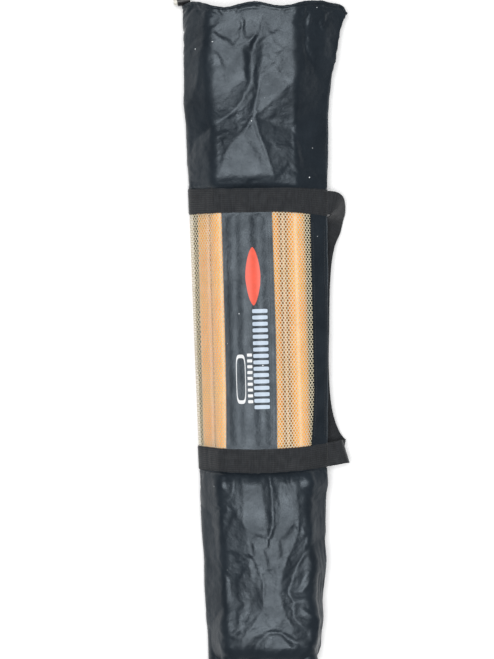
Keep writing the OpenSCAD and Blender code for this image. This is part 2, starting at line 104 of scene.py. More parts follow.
def noise(x, y, seed):
    """Smooth noise from -1 to 1 with features about 1 unit across."""
    ix, iy = np.floor(x).astype(np.int64), np.floor(y).astype(np.int64)
    fx, fy = smooth(x - ix), smooth(y - iy)
    low = hashed(ix, iy, seed) * (1 - fx) + hashed(ix + 1, iy, seed) * fx
    high = hashed(ix, iy + 1, seed) * (1 - fx) + hashed(ix + 1, iy + 1, seed) * fx
    return 2 * (low * (1 - fy) + high * fy) - 1


def patches(x, y, size, seed):
    """Smooth noise from -1 to 1 in patches of a size in millimetres."""
    return noise(x / (size * MM), y / (size * MM), seed)


def from_segment(x, y, start, end):
    """Distance from a straight piece of line."""
    (ax, ay), (bx, by) = start, end
    ex, ey = bx - ax, by - ay
    t = np.clip(((x - ax) * ex + (y - ay) * ey) / (ex * ex + ey * ey), 0, 1)
    return np.hypot(x - ax - t * ex, y - ay - t * ey)


def beside(x, y, line):
    """Distance from an open line, given in millimetres."""
    corners = np.array(line) * MM
    return np.min([from_segment(x, y, a, b) for a, b in zip(corners, corners[1:])], axis=0)


def outside(x, y, outline):
    """Distance outside a closed outline, given in millimetres, and 0 inside it."""
    corners = np.array(outline) * MM
    sides = list(zip(corners, np.roll(corners, -1, axis=0)))
    within = np.zeros(np.shape(x), bool)
    for (ax, ay), (bx, by) in sides:
        within ^= ((ay > y) != (by > y)) & (x < ax + (y - ay) * (bx - ax) / ((by - ay) or 1e-9))
    return np.where(within, 0, np.min([from_segment(x, y, a, b) for a, b in sides], axis=0))


def ring_reader(stations, columns, y, share):
    """A function that reads a table with a row for each station along the bag and columns all the
    way round it, at places between them."""
    row = np.clip(np.searchsorted(stations, y, side="right") - 1, 0, len(stations) - 2)
    up = np.clip((y - stations[row]) / (stations[row + 1] - stations[row]), 0, 1)[..., None]
    place = share % 1.0 * columns
    column = np.floor(place).astype(int) % columns
    after = (column + 1) % columns
    part = (place - np.floor(place))[..., None]

    def read(table):
        here = table[row, column] * (1 - part) + table[row, after] * part
        there = table[row + 1, column] * (1 - part) + table[row + 1, after] * part
        return here * (1 - up) + there * up

    return read


# ---- the bag's outline, read from the CAD shells
class Skin:
    """The bag's outer surface, as a closed outline at each station along it."""

    SHELLS = (
        "upper_front_panel", "upper_back_panel", "lower_front_panel", "lower_back_panel",
        "centre_panel", "side_panel", "back_panel", "mesh_left", "mesh_right",
        "webbing_band_upper", "webbing_band_lower",
    )
    ANGLES = 720
    COLUMNS = 720
    REACH = 0.4
    CENTRE = (-5 * MM, 34 * MM)

    def __init__(self):
        tree = self.merged_tree()
        near_foot = np.arange(FOOT_Y + 1 * MM, FOOT_Y + 20 * MM, 1.5 * MM)
        further = np.arange(FOOT_Y + 22 * MM, MOUTH_Y - 16 * MM, 5 * MM)
        bands = (LOWER_BAND_Y, UPPER_BAND_Y)
        edges = [band + side * WEBBING_W / 2 for band in bands for side in (-1, 1)]
        every = np.append(near_foot, further)
        stations = [y for y in every if min(abs(y - edge) for edge in edges) > 4 * MM]
        rows = [self.section(tree, y) for y in stations]
        self.y = np.array(stations)
        self.length = np.array([row[0] for row in rows])
        self.points = np.array([row[1] for row in rows])
        self.extend_to_mouth()
        along = unit(np.roll(self.points, -4, axis=1) - np.roll(self.points, 4, axis=1))
        self.normals = np.stack([along[:, :, 1], -along[:, :, 0]], axis=2)

    def merged_tree(self):
        vertices, faces = [], []
        for name in self.SHELLS:
            mesh, first = NODES[name].data, len(vertices)
            vertices += [v.co.copy() for v in mesh.vertices]
            faces += [[first + k for k in face.vertices] for face in mesh.polygons]
        return BVHTree.FromPolygons(vertices, faces)

    def section(self, tree, y):
        angles = np.arange(self.ANGLES) * TAU / self.ANGLES
        radius = np.full(self.ANGLES, np.nan)
        for k, angle in enumerate(angles):
            way = Vector((math.cos(angle), 0, math.sin(angle)))
            start = Vector((self.CENTRE[0], y, self.CENTRE[1])) + way * self.REACH
            gap = tree.ray_cast(start, -way, self.REACH)[3]
            if gap is not None:
                radius[k] = self.REACH - gap
        found = ~np.isnan(radius)
        radius = np.interp(angles, angles[found], radius[found], period=TAU)
        ways = np.stack([np.cos(angles), np.sin(angles)], axis=1)
        outline = np.array(self.CENTRE) + ways * radius[:, None]
        outline = np.roll(outline, -int(np.argmax(outline[:, 0])), axis=0)
        outline = np.append(outline, outline[:1], axis=0)
        steps = distances(outline)
        places = np.arange(self.COLUMNS) / self.COLUMNS * steps[-1]
        spread = np.stack([np.interp(places, steps, outline[:, k]) for k in (0, 1)], axis=1)
        return steps[-1], spread

    def extend_to_mouth(self):
        """Carry the last slope on to just past the mouth, where the hem hides the shells."""
        grow = (MOUTH_Y + 10 * MM - self.y[-1]) / (self.y[-1] - self.y[-5])

        def extended(table):
            return np.append(table, [table[-1] + grow * (table[-1] - table[-5])], axis=0)

        self.points, self.length = extended(self.points), extended(self.length)
        self.y = extended(self.y)

    def around(self, y):
        """Length of the outline at y."""
        return np.interp(y, self.y, self.length)

    def at(self, y, share):
        """Points and outward normals."""
        y, share = np.broadcast_arrays(np.asarray(y, float), np.asarray(share, float))
        read = ring_reader(self.y, self.COLUMNS, y, share)
        flat, normal = read(self.points), unit(read(self.normals))
        points = np.stack([flat[..., 0], y, flat[..., 1]], axis=-1)
        return points, np.stack([normal[..., 0], np.zeros_like(y), normal[..., 1]], axis=-1)


skin = Skin()


def seam_share(y):
    """Where the seam under the left edge is."""
    points, _ = skin.at(np.full(400, y), np.linspace(0.4, 0.6, 400))
    left = np.argmin(points[:, 0])
    under = left + np.argmax(points[left:, 2] < 4 * MM)
    return 0.4 + 0.2 * under / 399


LEFT_SEAM = float(np.mean([seam_share(y) for y in (-0.15, 0.0, 0.15)]))


# ---- meshes
def new_object(name, vertices, faces, uv=None, material=None, angle=50):
    """An object from a mesh whose edges sharper than the angle, in degrees, stay sharp."""
    mesh = bpy.data.meshes.new(name)
    corners_of_faces = [tuple(int(k) for k in face) for face in faces]
    mesh.from_pydata(np.asarray(vertices).tolist(), [], corners_of_faces)
    if material is not None:
        mesh.materials.append(material)
    if uv is not None:
        corners = np.zeros(len(mesh.loops), np.int32)
        mesh.loops.foreach_get("vertex_index", corners)
        layer = mesh.uv_layers.new(name="cloth")
        layer.data.foreach_set("uv", np.asarray(uv, np.float32)[corners].ravel())
    mesh.shade_smooth()
    mesh.set_sharp_from_angle(angle=math.radians(angle))
    made = bpy.data.objects.new(name, mesh)
    bpy.context.scene.collection.objects.link(made)
    return made


def grid_faces(rows, columns, ring):
    """Quads of a grid of vertices; a ring joins its last column to its first."""
    across = np.arange(columns if ring else columns - 1)
    i, j = [grid.ravel() for grid in np.meshgrid(np.arange(rows - 1), across, indexing="ij")]
    k = (j + 1) % columns
    here, there = i * columns, (i + 1) * columns
    return np.stack([here + j, there + j, there + k, here + k], axis=1)


def grid_normals(points, ring):
    """Outward normals of a grid with rows towards the mouth and columns anticlockwise round it."""
    if ring:
        across = np.roll(points, -1, axis=1) - np.roll(points, 1, axis=1)
    else:
        across = np.gradient(points, axis=1)
    normals = np.cross(np.gradient(points, axis=0), across)
    return normals / np.maximum(np.linalg.norm(normals, axis=-1, keepdims=True), 1e-12)


def shell(name, points, uv, thickness, material, ring=False, normals=None):
    """A sheet from a grid of points on its outer side, with a real thickness and closed edges."""
    rows, columns = points.shape[:2]
    normals = grid_normals(points, ring) if normals is None else normals
    inner = points - normals * thickness
    vertices = np.concatenate([points.reshape(-1, 3), inner.reshape(-1, 3)])
    top, count = grid_faces(rows, columns, ring), rows * columns
    faces = [top, top[:, ::-1] + count]

    def rim(line, closed):
        a = line if closed else line[:-1]
        b = np.roll(line, -1) if closed else line[1:]
        faces.append(np.stack([a, b, b + count, a + count], axis=1))

    row, column = np.arange(columns), np.arange(rows) * columns
    rim(row, ring)
    rim(row[::-1] + (rows - 1) * columns, ring)
    if not ring:
        rim(column[::-1], False)
        rim(column + columns - 1, False)
    both_sides_uv = np.tile(np.reshape(uv, (-1, 2)), (2, 1))
    return new_object(name, vertices, np.concatenate(faces), both_sides_uv, material)


def tube(path, side, radius, sides, closed=False):
    """Vertices, faces and UV of a tube along a path; radius may change along it."""
    path, count = np.asarray(path, float), len(path)
    if closed:
        along = np.roll(path, -1, axis=0) - np.roll(path, 1, axis=0)
    else:
        along = np.gradient(path, axis=0)
    along = unit(along)
    b = unit(np.cross(along, np.broadcast_to(side, path.shape)))
    a = np.cross(b, along)
    turn = np.arange(sides) * TAU / sides
    radius = np.broadcast_to(radius, count)[:, None, None]
    ring = a[:, None] * np.cos(turn)[None, :, None] + b[:, None] * np.sin(turn)[None, :, None]
    vertices = (path[:, None] + radius * ring).reshape(-1, 3)
    last = count if closed else count - 1
    grids = np.meshgrid(np.arange(last), np.arange(sides), indexing="ij")
    i, k = [grid.ravel() for grid in grids]
    n, m = (i + 1) % count, (k + 1) % sides
    faces = [i * sides + k, i * sides + m, n * sides + m, n * sides + k]
    faces = np.stack(faces, axis=1).tolist()
    if not closed:
        faces += [list(range(sides))[::-1], list(range((count - 1) * sides, count * sides))]
    gone = distances(path)[:, None]
    uv = np.stack(np.broadcast_arrays(turn[None, :] * np.max(radius), gone), axis=-1)
    return vertices, faces, uv.reshape(-1, 2)


# ---- cloth surfaces
# The bands don't cross the bag quite straight. At each of these places along the bag, the cloth's
# left and right edges are drawn this many millimetres towards the mouth.
PULL_STATIONS = (
    FOOT_Y, -0.42, LOWER_BAND_Y, -0.05,
    UPPER_BAND_Y - WEBBING_W / 2, UPPER_BAND_Y + WEBBING_W / 2, 0.30,
)
LEFT_PULLS = (0, 2, 8, 1, 0, 2.5, 0)
RIGHT_PULLS = (0, 2, 8, 1, -8, -4, 0)
MIDDLE_X, HALF_ACROSS = 2 * MM, 104 * MM


def curved_y(y, x):
    """How far the cloth at a place is drawn towards the mouth."""
    across = np.clip((x - MIDDLE_X) / HALF_ACROSS, -1.05, 1.05)
    left = np.interp(y, PULL_STATIONS, np.array(LEFT_PULLS) * MM)
    right = np.interp(y, PULL_STATIONS, np.array(RIGHT_PULLS) * MM)
    return np.where(across < 0, left, right) * across**2


CORNER = 22 * MM
RIGHT_CORNER_X, LEFT_CORNER_X = 147 * MM, -112 * MM


def mouth_shift(x):
    """How far the mouth's edge stands from its mean line."""
    wave = MOUTH_WAVE * np.cos(TAU * (x - MIDDLE_X) / (92 * MM))
    right = np.clip((x - RIGHT_CORNER_X + CORNER) / CORNER, 0, 1)
    left = np.clip((LEFT_CORNER_X + 10 * MM - x) / (10 * MM), 0, 1)
    drop = CORNER * (1 - np.sqrt(1 - right**2 * 0.98)) + 4 * MM * left**2
    from_left = smooth((x + 100 * MM) / (40 * MM))
    near_right = smooth((x - 95 * MM) / (20 * MM))
    set_back = 4.8 * MM * from_left * (1 - 0.6 * near_right)
    return wave * (1 - smooth(right)) - drop + 3 * MM * smooth(right) - set_back


class Cloth:
    """A cloth surface as a grid of points, in rows along the bag and columns all round it."""

    def __init__(self, y, points):
        self.y, self.points = y, points
        self.columns = points.shape[1]
        self.normals = grid_normals(points, ring=True)
        self.share = np.arange(self.columns) / self.columns

    def at(self, y, share, lift=0.0):
        """Points and normals at places on the cloth, raised off it by lift."""
        y, share = np.broadcast_arrays(np.asarray(y, float), np.asarray(share, float))
        read = ring_reader(self.y, self.columns, y, share)
        normals = unit(read(self.normals))
        return read(self.points) + normals * np.asarray(lift)[..., None], normals

    def share_at_x(self, y, x):
        """Where on the upper side the cloth is at x."""
        y, x = np.broadcast_arrays(np.asarray(y, float), np.asarray(x, float))
        half = self.columns // 2
        rows = np.clip(np.searchsorted(self.y, y.ravel()), 0, len(self.y) - 1)
        found = [
            np.interp(-wanted, -self.points[row, :half, 0], self.share[:half])
            for row, wanted in zip(rows, x.ravel())
        ]
        return np.reshape(found, y.shape)


def base_grid(y, columns):
    """Grid of points and normals on the skin, with a row at each y."""
    share = np.arange(columns) / columns
    return skin.at(y[:, None], share[None, :])


def keep_clear(points, thickness=CLOTH_T):
    """Push cloth out of the space each pole needs, all along the bag, and up from the floor."""
    room = POLE_R + 0.6 * MM + thickness
    for x, z in POLE_AXES:
        dx, dz = points[..., 0] - x, points[..., 2] - z
        away = np.hypot(dx, dz)
        push = np.where(away < room, room / np.maximum(away, 1e-9), 1.0)
        points[..., 0], points[..., 2] = x + dx * push, z + dz * push
    points[..., 2] = np.maximum(points[..., 2], 0.05 * MM)
    return points


def upward(normals):
    """1 on the top of the bag, falling to 0 on its sides."""
    return smooth((normals[..., 2] - 0.1) / 0.6)


def raised(x, y, outlines, height, run):
    """Height field of flat-topped folds, each falling away outside its outline."""
    def drift(seed):
        wide, narrow = patches(x, y, 36, seed), patches(x, y, 9, seed + 1)
        return 3 * MM * wide + 1.0 * MM * narrow

    x_there, y_there = x + drift(3), y + drift(5)
    tops = [1 - np.clip(outside(x_there, y_there, outline) / run, 0, 1) for outline in outlines]
    return height * np.max(tops, axis=0)


def creased(x, y, size, seed):
    """Sharp-edged crumpling, about -1 to 1."""
    turned_x, turned_y = 0.8 * x + 0.6 * y, 0.8 * y - 0.6 * x
    one = np.abs(noise(x / size, 0.7 * y / size, seed))
    two = np.abs(noise(turned_x / size * 0.6 + 5, turned_y / size, seed + 1))
    return 1.1 - 2 * one - 1.2 * two


def folds(x, y, lines, width, depth):
    """Narrow valleys along lines."""
    drift = 1.5 * MM * patches(x, y, 30, 7)
    gaps = [beside(x + drift, y - drift, line) for line in lines]
    valley = depth * np.exp(-((np.min(gaps, axis=0) / width) ** 2))
    return -valley * (0.6 + 0.6 * np.abs(patches(x, y, 18, 8)))


# Flat-topped folds, as closed outlines in millimetres, and creases, as open lines.
UPPER_FOLDS = (
    [(-66, 226), (-55, 262), (-44, 286), (-18, 314), (-6, 336), (0, 336), (3, 316), (14, 282),
     (24, 254), (30, 226)],
    [(-52, 497), (-70, 460), (-77, 437), (-80, 398), (-93, 364), (-42, 378), (-15, 396),
     (-16, 445), (8, 470), (20, 500)],
    [(18, 453), (15, 419), (2, 366), (-4, 338), (26, 361), (58, 388), (78, 419), (74, 470),
     (50, 500), (20, 500)],
    [(88, 505), (84, 450), (96, 428), (108, 430), (110, 500)],
    [(-50, 512), (-40, 488), (40, 488), (100, 500), (120, 512)],
)
UPPER_CREASES = (
    [(12, 330), (60, 334), (122, 344)],
    [(-16, 447), (4, 436), (4, 380)],
    [(-108, 455), (-80, 462), (-62, 487), (-50, 510)],
    [(-112, 480), (-84, 492), (-70, 512)],
    [(-90, 440), (-72, 452)],
    [(46, 515), (40, 480), (20, 466), (2, 452)],
    [(82, 512), (80, 470), (88, 420)],
    [(112, 500), (128, 480)], [(104, 510), (130, 496)], [(78, 440), (84, 400)],
)
LOWER_FOLDS = (
    [(-36, -226), (-6, -226), (-2, -262), (0, -300), (4, -330), (20, -316), (24, -280), (26, -226),
     (50, -226), (52, -270), (52, -318), (40, -350), (24, -380), (18, -412), (22, -440), (38, -470),
     (38, -480), (16, -470), (-2, -472), (-22, -480), (-40, -500), (-42, -482), (-24, -462),
     (-10, -440), (-6, -410), (-12, -374), (-28, -345), (-34, -300)],
    [(2, -484), (18, -478), (34, -500), (38, -522), (-2, -522), (-6, -504)],
    [(60, -226), (70, -226), (72, -244), (66, -240)],
    [(-70, -226), (-62, -226), (-66, -246)],
    [(46, -410), (72, -366), (78, -372), (54, -412)],
    [(52, -440), (76, -458), (72, -462), (50, -446)],
)
LOWER_CREASES = (
    [(8, -226), (12, -262), (10, -306)],
    [(34, -226), (38, -252)], [(56, -226), (66, -262)], [(-8, -226), (-4, -240)],
    [(24, -226), (22, -238)], [(-22, -330), (-8, -372)], [(26, -396), (62, -352)],
    [(40, -420), (70, -384)], [(-2, -300), (2, -340)],
    [(-40, -478), (-8, -466), (14, -474), (38, -484)],
)


FOLD_HEIGHT = 11 * MM
CREASE_W, CREASE_DEPTH = 3 * MM, 0.35 * MM
UPPER_START = UPPER_BAND_Y + WEBBING_W / 2
LOWER_END = LOWER_BAND_Y - WEBBING_W / 2
WINDOW_LOW, WINDOW_HIGH = LOWER_BAND_Y + WEBBING_W / 2, UPPER_BAND_Y - WEBBING_W / 2
CRUMPLED_FROM = 0.36


def upper_relief(x, y):
    """Height of the upper section's cloth above the skin; it is more crumpled towards the mouth."""
    from_band = smooth((y - UPPER_START + 6 * MM) / (30 * MM))
    relief = raised(x, y, UPPER_FOLDS, FOLD_HEIGHT, 54 * MM) * (0.35 + 0.65 * from_band)
    relief += folds(x, y, UPPER_CREASES, CREASE_W, CREASE_DEPTH)
    rough = 0.35 + 0.65 * smooth((y - CRUMPLED_FROM) / 0.10)
    relief += 0.45 * MM * rough * creased(x, y, 30 * MM, 11)
    relief += 0.16 * MM * rough * creased(x, y, 11 * MM, 21)
    return relief * smooth((y - UPPER_START + 3 * MM) / (8 * MM))


def lower_relief(x, y):
    """Height of the lower section's cloth above the skin; it is gathered under the band."""
    from_band = smooth((LOWER_END + 6 * MM - y) / (26 * MM))
    relief = raised(x, y, LOWER_FOLDS, FOLD_HEIGHT, 50 * MM) * (0.45 + 0.55 * from_band)
    relief += folds(x, y, LOWER_CREASES, CREASE_W, CREASE_DEPTH)
    near_band = np.exp((y - LOWER_END) / (22 * MM))
    relief += 1.2 * MM * near_band * noise(x / (7 * MM), 0.3 * y / (7 * MM), 31)
    relief += 0.4 * MM * creased(x, y, 28 * MM, 41)
    relief += 0.14 * MM * creased(x, y, 10 * MM, 51)
    return relief * smooth((LOWER_END + 3 * MM - y) / (7 * MM))


SWELL_STEPS = 16
SWELL_LIMIT = 0.7 * MM


def swell(points, pinned):
    """Cloth simulation: the sheet is a little too large for its shape, so it buckles into soft
    creases. Rows of points are held in place by the weights in pinned."""
    rows, columns = points.shape[:2]
    sheet = new_object("swelling_sheet", points.reshape(-1, 3), grid_faces(rows, columns, True))
    held = sheet.vertex_groups.new(name="held")
    for row, weight in pinned.items():
        held.add([row % rows * columns + k for k in range(columns)], weight, "REPLACE")
    cloth = sheet.modifiers.new("cloth", "CLOTH")
    cloth.settings.quality = 5
    cloth.settings.mass = 0.12
    cloth.settings.tension_stiffness = cloth.settings.compression_stiffness = 12
    cloth.settings.shear_stiffness = 4
    cloth.settings.bending_stiffness = 0.35
    cloth.settings.air_damping = 4
    cloth.settings.shrink_min = -0.035
    cloth.settings.vertex_group_mass = "held"
    cloth.settings.effector_weights.gravity = 0.0
    cloth.collision_settings.use_collision = False
    scene = bpy.context.scene
    for step in range(1, SWELL_STEPS + 1):
        scene.frame_set(step)
    settled = sheet.evaluated_get(bpy.context.evaluated_depsgraph_get()).data
    moved = np.zeros(len(settled.vertices) * 3)
    settled.vertices.foreach_get("co", moved)
    scene.frame_set(1)
    mesh = sheet.data
    bpy.data.objects.remove(sheet)
    bpy.data.meshes.remove(mesh)
    shift = moved.reshape(points.shape) - points
    size = np.linalg.norm(shift, axis=-1, keepdims=True)
    shift *= np.minimum(1, SWELL_LIMIT / np.maximum(size, 1e-9))
    return points + shift


def refined(grid):
    """A grid with its spacing halved, ring-wise round and open along, by cubic interpolation."""
    before, after, far = np.roll(grid, 1, 1), np.roll(grid, -1, 1), np.roll(grid, -2, 1)
    between = (9 * (grid + after) - before - far) / 16
    grid = np.stack([grid, between], axis=2).reshape(grid.shape[0], -1, *grid.shape[2:])
    first, last = 2 * grid[:1] - grid[1:2], 2 * grid[-1:] - grid[-2:-1]
    padded = np.concatenate([first, grid, last])
    between = (9 * (padded[1:-2] + padded[2:-1]) - padded[:-3] - padded[3:]) / 16
    full = np.empty((2 * grid.shape[0] - 1, *grid.shape[1:]))
    full[0::2], full[1::2] = grid, between
    return full


SECTION_COLUMNS, WINDOW_COLUMNS = 144, 288
SECTION_INSET = 0.8 * MM
BAND_INSET = 0.9 * MM


def section_cloth(y, relief, pinned, under_band, edge_shift=None):
    """Cloth of one section: the skin, its folds, the simulated creases, and room for the poles."""
    points, normals = base_grid(y, SECTION_COLUMNS)
    x, top = points[..., 0].copy(), upward(normals)
    side = 0.8 * MM * noise(points[..., 2] / (30 * MM), y[:, None] / (45 * MM), 71)
    lift = relief(x, y[:, None] + 0 * x) * top + side * (1 - top) - SECTION_INSET
    lift -= BAND_INSET * under_band[:, None]
    points = points + normals * lift[..., None]
    points = swell(points, pinned)
    points = refined(keep_clear(points))
    fine_y = np.interp(np.arange(2 * len(y) - 1) / 2, np.arange(len(y)), y)
    x = points[..., 0].copy()
    points[..., 1] += curved_y(fine_y[:, None], x)
    if edge_shift is not None:
        points[..., 1] += edge_shift(fine_y[:, None], x)
    return Cloth(fine_y, keep_clear(points))


def upper_cloth():
    y = np.concatenate([[UPPER_START - 14 * MM], np.linspace(UPPER_START - 2 * MM, MOUTH_Y, 72)])

    def shift(y, x):
        near_mouth = np.clip((y - CRUMPLED_FROM) / (MOUTH_Y - CRUMPLED_FROM), 0, 1)
        return near_mouth**2 * mouth_shift(x)

    under_band = smooth((UPPER_START + 4 * MM - y) / (5 * MM))
    return section_cloth(y, upper_relief, {0: 1.0, 1: 1.0, -1: 1.0, -2: 0.6}, under_band, shift)


def lower_cloth():
    y = np.concatenate([
        FOOT_Y + np.array([1, 2.5, 5, 8, 12]) * MM,
        np.linspace(FOOT_Y + 16 * MM, LOWER_END + 2 * MM, 70), [LOWER_END + 14 * MM],
    ])
    under_band = smooth((y - LOWER_END + 4 * MM) / (5 * MM))
    return section_cloth(y, lower_relief, {0: 1.0, 1: 1.0, 2: 0.8, -1: 1.0, -2: 1.0}, under_band)


def window_cloth():
    """The window section lies close over the poles, and dips a little between them."""
    span = np.linspace(WINDOW_LOW - 1 * MM, WINDOW_HIGH + 1 * MM, 96)
    y = np.concatenate([[WINDOW_LOW - 12 * MM], span, [WINDOW_HIGH + 12 * MM]])
    points, normals = base_grid(y, WINDOW_COLUMNS)
    x = points[..., 0]
    gap = np.min([np.abs(x - pole) for pole in FRONT_ROW_X], axis=0)
    dip = 1.1 * MM + 1.7 * MM * smooth((gap - 4 * MM) / (15 * MM)) * (np.abs(x) < 59 * MM)
    long_y = y[:, None] + 0 * x
    ripple = 0.5 * MM * noise(x / (22 * MM), long_y / (120 * MM), 81)
    ripple += 0.2 * MM * creased(x, long_y, 40 * MM, 91)
    from_edge = np.minimum(np.abs(long_y - WINDOW_LOW), np.abs(long_y - WINDOW_HIGH))
    edge = 1 - smooth((from_edge - 1 * MM) / (5 * MM))
    lift = (ripple * upward(normals) - dip) * (1 - edge) - 1.5 * MM * edge
    points = points + normals * lift[..., None]
    points[..., 1] += curved_y(long_y, points[..., 0])
    return Cloth(y, keep_clear(points, NET_T))


# ---- materials
class Shader:
    """A procedural material being put together. Sizes are in metres of cloth or of the object."""

    def __init__(self, name, colour, roughness, uv=False, **settings):
        self.material = bpy.data.materials.new(name)
        self.material.use_nodes = True
        self.material.diffuse_color = (*colour, 1)
        self.tree = self.material.node_tree
        self.surface = self.tree.nodes["Principled BSDF"]
        where = self.node("TexCoord")
        self.place = where.outputs["UV" if uv else "Object"]
        self.height = None
        self.set(Base_Color=(*colour, 1), Roughness=roughness, **settings)

    def node(self, kind, attributes=None, **inputs):
        made = self.tree.nodes.new("ShaderNode" + kind)
        for key, value in (attributes or {}).items():
            setattr(made, key, value)
        self.fill(made, inputs)
        return made

    def fill(self, node, inputs):
        """Link or set inputs, each found by name or, when written i0, i1 and so on, by number."""
        for key, value in inputs.items():
            by_number = key[0] == "i" and key[1:].isdigit()
            socket = node.inputs[int(key[1:]) if by_number else key.replace("_", " ")]
            if isinstance(value, bpy.types.NodeSocket):
                self.tree.links.new(value, socket)
            else:
                socket.default_value = value

    def set(self, **inputs):
        self.fill(self.surface, inputs)

    def stretched(self, x, y, z):
        return self.node("Mapping", Vector=self.place, Scale=(x, y, z)).outputs["Vector"]

    def cloud(self, size, detail=3, place=None):
        found = self.node(
            "TexNoise", Vector=place or self.place, Scale=1 / size, Detail=detail, Roughness=0.55
        )
        return found.outputs["Fac"]

    def between(self, value, low, high, to_low=0.0, to_high=1.0):
        found = self.node(
            "MapRange", Value=value, From_Min=low, From_Max=high, To_Min=to_low, To_Max=to_high
        )
        return found.outputs["Result"]

    def times(self, a, b):
        return self.node("Math", {"operation": "MULTIPLY"}, i0=a, i1=b).outputs["Value"]

    def mix(self, share, a, b):
        return self.node("MixRGB", Fac=share, Color1=a, Color2=b).outputs["Color"]

    def stripes(self, pitch, axis, place=None):
        wave = self.node(
            "TexWave", {"wave_type": "BANDS", "bands_direction": axis, "wave_profile": "SIN"},
            Vector=place or self.place, Scale=0.31416 / pitch, Distortion=0.4, Detail=1.0,
        )
        return wave.outputs["Fac"]

    def emboss(self, height, depth):
        """Add a relief of the given depth to the bump."""
        bump = self.node("Bump", Height=height, Distance=depth, Strength=1.0)
        if self.height is not None:
            self.tree.links.new(self.height, bump.inputs["Normal"])
        self.height = bump.outputs["Normal"]
        self.set(Normal=self.height)

    def tint(self, dark, light, size, detail=3):
        shade = self.mix(self.between(self.cloud(size, detail), 0.3, 0.7), (*dark, 1), (*light, 1))
        self.set(Base_Color=shade)
        return shade

    def woven(self, pitch_x, pitch_y, place=None):
        """Height of threads that cross each other."""
        return self.times(self.stripes(pitch_x, "X", place), self.stripes(pitch_y, "Y", place))

    def roughen(self, low, high, size, detail=3, place=None):
        """Let the roughness drift from low to high over patches of the given size."""
        self.set(Roughness=self.between(self.cloud(size, detail, place), 0.3, 0.7, low, high))


def coated_fabric():
    made = Shader(
        "coated_fabric", (0.014, 0.019, 0.026), 0.3, uv=True, IOR=1.41,
        Specular_Tint=(0.80, 0.91, 1.0, 1),
    )
    shade = made.tint((0.009, 0.013, 0.018), (0.016, 0.022, 0.029), 55 * MM)
    cell = made.node(
        "TexVoronoi", {"feature": "F1"}, Vector=made.place, Scale=1 / (26 * MM), Randomness=1.0
    )
    spot = made.between(cell.outputs["Distance"], 0.045, 0.030)
    some = made.between(made.cloud(90 * MM, 1), 0.50, 0.56)
    made.set(Base_Color=made.mix(made.times(spot, some), shade, (0.8, 0.83, 0.85, 1)))
    made.roughen(0.30, 0.44, 30 * MM)
    made.emboss(made.cloud(34 * MM, 3), 1.6 * MM)
    made.emboss(made.cloud(9 * MM, 4), 0.45 * MM)
    made.emboss(made.cloud(2.2 * MM, 2), 0.10 * MM)
    made.emboss(made.woven(0.9 * MM, 0.9 * MM), 0.04 * MM)
    return made.material


def webbing():
    sheen = {"Sheen_Weight": 0.15, "Sheen_Roughness": 0.5}
    made = Shader("webbing", (0.015, 0.016, 0.018), 0.7, uv=True, IOR=1.4, **sheen)
    streak = made.between(made.cloud(2.2 * MM, 3, made.stretched(1, 0.1, 1)), 0.3, 0.7)
    made.set(Base_Color=made.mix(streak, (0.007, 0.008, 0.010, 1), (0.018, 0.021, 0.025, 1)))
    made.roughen(0.6, 0.8, 14 * MM)
    made.emboss(made.woven(1.8 * MM, 3.2 * MM), 0.35 * MM)
    made.emboss(made.cloud(0.8 * MM, 2), 0.10 * MM)
    return made.material


def net_thread():
    made = Shader("net_thread", (0.80, 0.77, 0.68), 0.5, Alpha=0.45, Specular_IOR_Level=0.2)
    made.tint((0.86, 0.76, 0.52), (0.94, 0.86, 0.66), 12 * MM)
    made.emboss(made.cloud(0.5 * MM, 2), 0.15 * MM)
    return made.material


def plastic(name, dark, light, roughness, grain):
    made = Shader(name, light, roughness, IOR=1.48)
    made.tint(dark, light, 7 * MM)
    made.roughen(roughness - 0.06, roughness + 0.08, 5 * MM)
    made.emboss(made.cloud(grain, 2), 0.06 * MM)
    return made.material


def pole_plastic():
    made = Shader("pole_plastic", (1.0, 0.40, 0.02), 0.3, IOR=1.45)
    shade = made.tint((1.0, 0.36, 0.015), (1.0, 0.46, 0.03), 60 * MM)
    scuff = made.between(made.cloud(1.6 * MM, 4, made.stretched(1, 0.04, 1)), 0.60, 0.72)
    shade = made.mix(made.times(scuff, 0.5), shade, (1.0, 0.58, 0.25, 1))
    # Painted shade: where the ambient occlusion finds other pieces within 22 mm, as in the gaps
    # between the poles under the net, the orange is painted down to a dark red-brown.
    reach = made.node("AmbientOcclusion", {"samples": 6}, Distance=22 * MM).outputs["AO"]
    clear_of_painted_shade = made.between(reach, 0.10, 0.34)
    made.set(Base_Color=made.mix(clear_of_painted_shade, (0.10, 0.012, 0.006, 1), shade))
    made.set(Roughness=made.between(scuff, 0, 1, 0.28, 0.5))
    made.emboss(made.cloud(4 * MM, 2, made.stretched(1, 0.1, 1)), 0.08 * MM)
    return made.material


def braid(name, colour):
    made = Shader(name, colour, 0.65, uv=True)
    turned = made.node("Mapping", Vector=made.place, Rotation=(0, 0, math.radians(40)))
    slant = turned.outputs["Vector"]
    weave = made.woven(1.1 * MM, 1.1 * MM, slant)
    made.set(Base_Color=made.mix(weave, (*[0.5 * c for c in colour], 1), (*colour, 1)))
    made.emboss(weave, 0.3 * MM)
    return made.material


def ink(name, colour):
    made = Shader(name, colour, 0.42, uv=True, IOR=1.4)
    worn = [0.86 * c for c in colour]
    made.tint(worn, colour, 8 * MM, 4)
    made.emboss(made.woven(0.9 * MM, 0.9 * MM), 0.03 * MM)
    return made.material


def steel():
    made = Shader("steel", (0.62, 0.63, 0.65), 0.3, Metallic=1.0)
    made.tint((0.50, 0.51, 0.53), (0.68, 0.69, 0.71), 6 * MM)
    made.roughen(0.22, 0.42, 1 * MM, 3, made.stretched(1, 0.05, 1))
    made.emboss(made.cloud(0.6 * MM, 2), 0.02 * MM)
    return made.material


